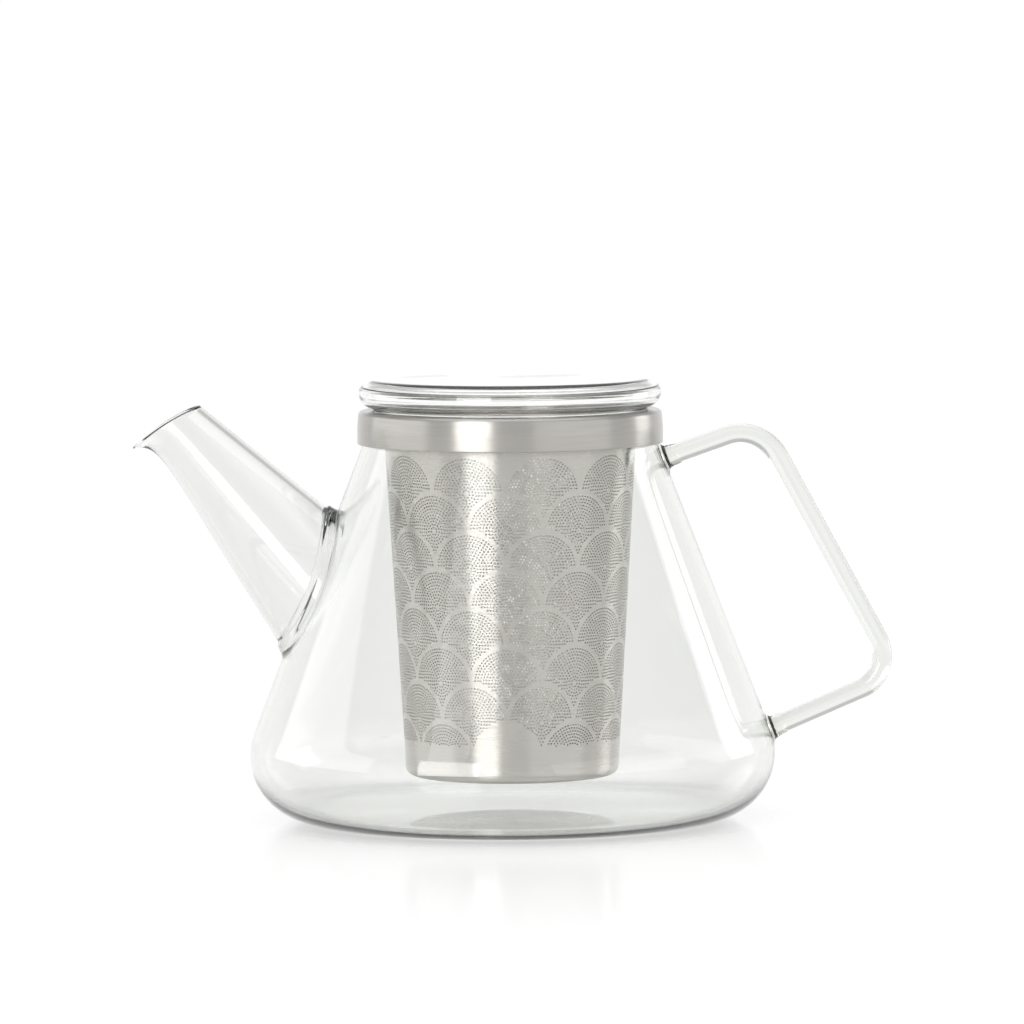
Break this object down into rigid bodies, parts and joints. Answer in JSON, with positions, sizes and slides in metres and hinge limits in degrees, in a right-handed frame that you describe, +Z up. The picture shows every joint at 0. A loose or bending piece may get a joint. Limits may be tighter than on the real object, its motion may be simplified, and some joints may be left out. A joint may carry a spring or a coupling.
{
  "type": "glass teapot with infuser",
  "caption": "Conical clear glass teapot with a drawn glass spout and a bent glass rod handle, a perforated steel sieve hanging from a steel collar in its neck, and a hollow glass lid.",
  "frame": {"origin": "centre of the pot's flat base, where it stands on the table", "axes": "+Z up along the axis of the pot, the sieve and the lid; the spout points to -X and the handle is at +X"},
  "size_m": [0.2285, 0.1588, 0.1333],
  "materials": {
    "pot_glass": "clear heat-resistant glass, fire-polished",
    "lid_glass": "clear heat-resistant glass, fire-polished",
    "collar_steel": "stainless steel, brushed round the axis",
    "sieve_steel": "stainless steel sheet, satin, etched with fine holes"
  },
  "bodies": {
    "pot": {"glass_body": "pot_glass", "spout": "pot_glass", "spout_seam": "pot_glass", "handle": "pot_glass", "handle_pad_upper": "pot_glass", "handle_pad_lower": "pot_glass"},
    "infuser": {"collar": "collar_steel", "sieve_wall": "sieve_steel", "sieve_base": "sieve_steel"},
    "lid": {"lid": "lid_glass"}
  },
  "joints": [
    {"name": "infuser_lift", "type": "slide", "parent": "pot", "child": "infuser", "axis": [0, 0, 1], "range_m": [0, 0.115]},
    {"name": "lid_lift", "type": "slide", "parent": "infuser", "child": "lid", "axis": [0, 0, 1], "range_m": [0, 0.04]}
  ]
}
